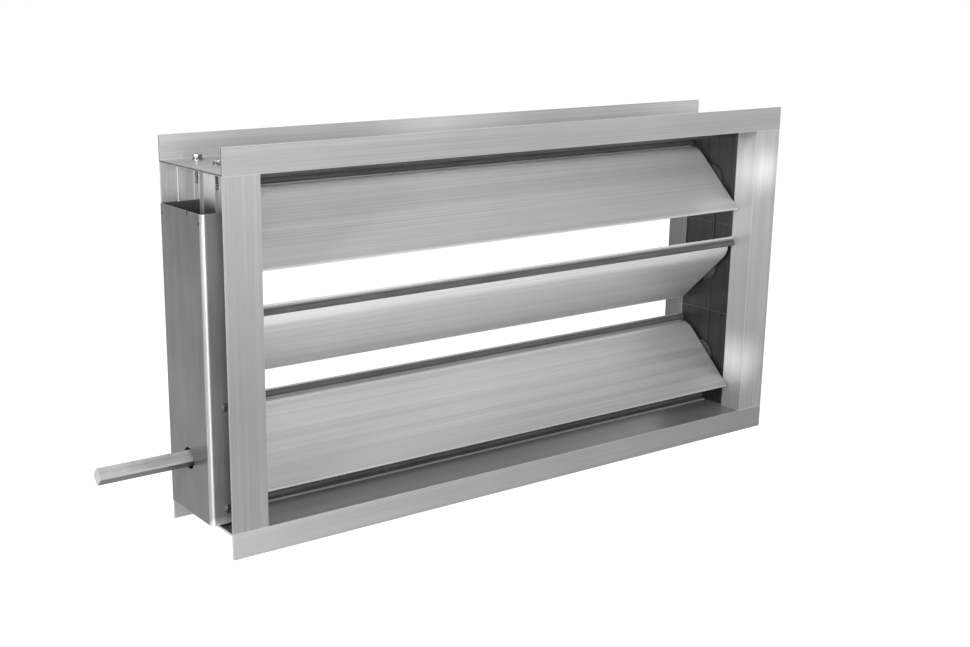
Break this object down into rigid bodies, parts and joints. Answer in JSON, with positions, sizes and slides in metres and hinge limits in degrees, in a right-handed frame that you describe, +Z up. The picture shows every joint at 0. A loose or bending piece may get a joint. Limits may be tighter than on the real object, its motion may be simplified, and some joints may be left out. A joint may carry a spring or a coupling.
{
  "type": "volume control damper",
  "caption": "Rectangular duct damper with opposed aerofoil blades in a flanged channel frame, driven by a square shaft through a covered side linkage.",
  "frame": {"origin": "centre of the air passage: middle of its width, height and depth, on the middle blade's axis", "axes": "+X across the duct away from the linkage side, +Y along the air path towards the rear flange, +Z up across the blades"},
  "size_m": [0.767, 0.12, 0.358],
  "materials": {
    "frame_aluminium": "extruded, mill finish with fine length grain",
    "blade_aluminium": "extruded, mill finish with die lines along the blade",
    "stop_aluminium": "extruded, mill finish",
    "seal_rubber": "matt EPDM",
    "side_seal_steel": "dark satin spring sheet",
    "bush_nylon": "matt black nylon",
    "shaft_metal": "drawn square bar",
    "cover_sheet": "galvanised sheet, satin",
    "linkage_steel": "zinc plated",
    "screw_steel": "zinc plated"
  },
  "bodies": {
    "frame": {"head_channel": "frame_aluminium", "sill_channel": "frame_aluminium", "left_jamb": "frame_aluminium", "right_jamb": "frame_aluminium", "head_screws": "screw_steel", "sill_screws": "screw_steel", "head_stop": "stop_aluminium", "sill_stop": "stop_aluminium", "sill_seal": "seal_rubber", "side_seal_left_bottom": "side_seal_steel", "side_seal_left_middle": "side_seal_steel", "side_seal_left_top": "side_seal_steel", "side_seal_right_bottom": "side_seal_steel", "side_seal_right_middle": "side_seal_steel", "side_seal_right_top": "side_seal_steel", "linkage_cover": "cover_sheet", "cover_brackets_front": "linkage_steel", "cover_brackets_rear": "linkage_steel", "cover_screws_front": "screw_steel", "cover_screws_rear": "screw_steel"},
    "bottom_blade": {"blade_bottom": "blade_aluminium", "blade_seal_bottom": "seal_rubber", "bush_left_bottom": "bush_nylon", "bush_right_bottom": "bush_nylon", "idle_stub_bottom": "shaft_metal", "crank_bottom": "linkage_steel", "crank_pin_bottom": "linkage_steel", "pin_clip_bottom": "linkage_steel", "drive_shaft": "shaft_metal"},
    "middle_blade": {"blade_middle": "blade_aluminium", "blade_seal_middle": "seal_rubber", "bush_left_middle": "bush_nylon", "bush_right_middle": "bush_nylon", "idle_stub_middle": "shaft_metal", "crank_middle": "linkage_steel", "crank_pin_middle": "linkage_steel", "pin_clip_middle": "linkage_steel", "crank_shaft_middle": "shaft_metal", "axle_screw_middle": "screw_steel"},
    "top_blade": {"blade_top": "blade_aluminium", "blade_seal_top": "seal_rubber", "bush_left_top": "bush_nylon", "bush_right_top": "bush_nylon", "idle_stub_top": "shaft_metal", "crank_top": "linkage_steel", "crank_pin_top": "linkage_steel", "pin_clip_top": "linkage_steel", "crank_shaft_top": "shaft_metal", "axle_screw_top": "screw_steel"},
    "drive_bar": {"drive_bar": "linkage_steel"}
  },
  "joints": [
    {"name": "bottom_blade_turn", "type": "hinge", "parent": "frame", "child": "bottom_blade", "pos_m": [0, 0, -0.1], "axis": [-1, 0, 0], "range_deg": [-46, 44]},
    {"name": "middle_blade_turn", "type": "hinge", "parent": "frame", "child": "middle_blade", "pos_m": [0, 0, 0], "axis": [-1, 0, 0], "range_deg": [-44, 46]},
    {"name": "top_blade_turn", "type": "hinge", "parent": "frame", "child": "top_blade", "pos_m": [0, 0, 0.1], "axis": [-1, 0, 0], "range_deg": [-46, 44]},
    {"name": "drive_bar_swing", "type": "hinge", "parent": "bottom_blade", "child": "drive_bar", "pos_m": [-0.3205, 0.02, -0.10035], "axis": [-1, 0, 0], "range_deg": [-44, 46]}
  ],
  "couplings": [
    {"joint": "middle_blade_turn", "follows": "bottom_blade_turn", "ratio": -1},
    {"joint": "top_blade_turn", "follows": "bottom_blade_turn", "ratio": 1},
    {"joint": "drive_bar_swing", "follows": "bottom_blade_turn", "ratio": -1}
  ]
}
